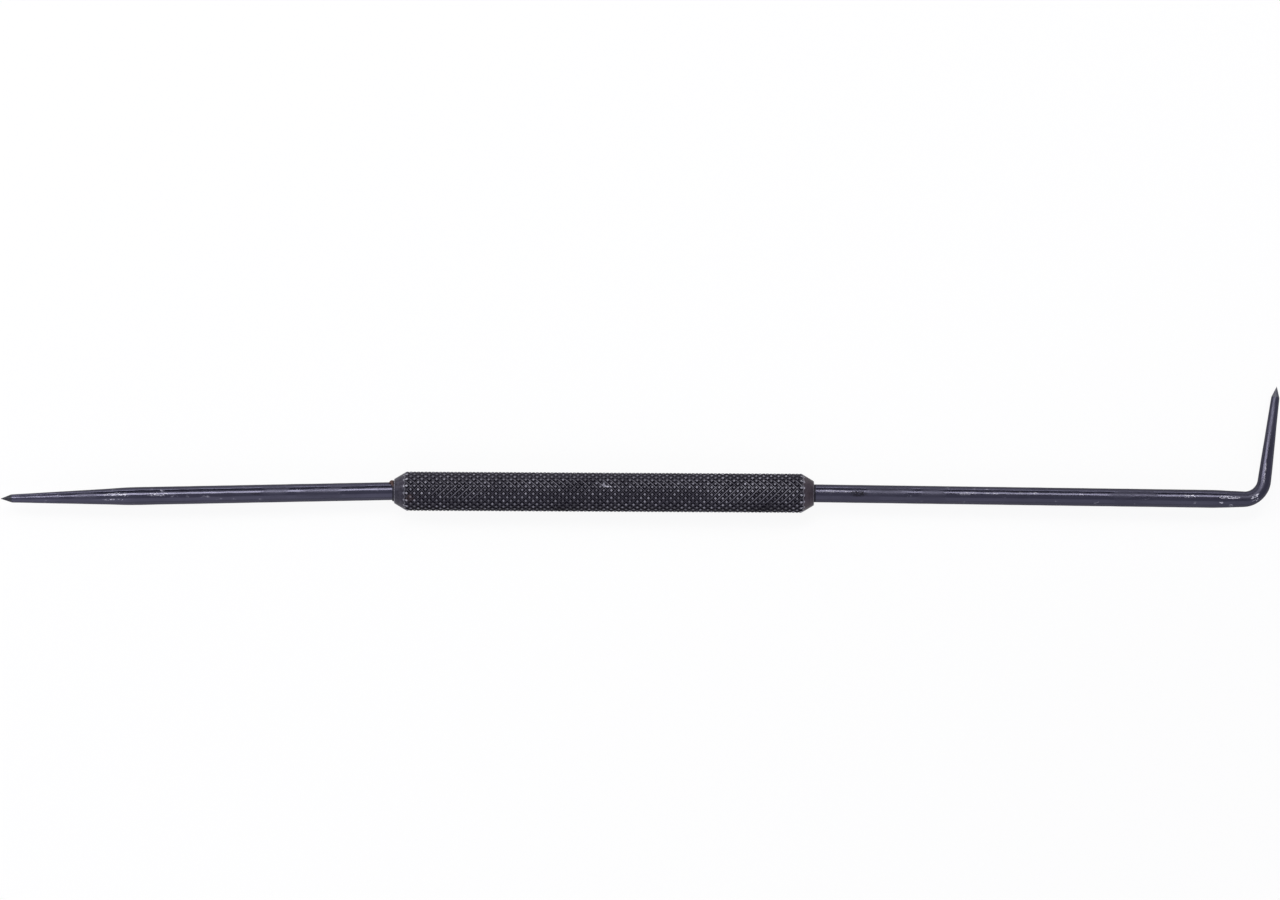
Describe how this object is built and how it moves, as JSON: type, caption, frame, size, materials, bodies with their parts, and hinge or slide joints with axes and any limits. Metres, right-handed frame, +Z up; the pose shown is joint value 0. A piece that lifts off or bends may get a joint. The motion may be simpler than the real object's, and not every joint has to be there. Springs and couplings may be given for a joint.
{
  "type": "double-ended scriber",
  "caption": "Marking-out scriber: a slim diamond-knurled steel grip with a straight tapered needle pressed into one end and a needle bent nearly square at its point in the other.",
  "frame": {"origin": "on the bench that the tool lies on, under the middle of its footprint", "axes": "+X along the grip towards the bent needle, +Z up from the bench, +Y the way the hook points"},
  "size_m": [0.2498, 0.0252, 0.0077],
  "materials": {
    "blackened_steel": "black-oxide steel with a rolled diamond knurl, its points worn brighter",
    "blued_needle_steel": "hardened and blued drawn steel, satin along its length, with a brighter ground point"
  },
  "bodies": {
    "root": {"grip": "blackened_steel", "straight_needle": "blued_needle_steel", "bent_needle": "blued_needle_steel"}
  },
  "joints": []
}
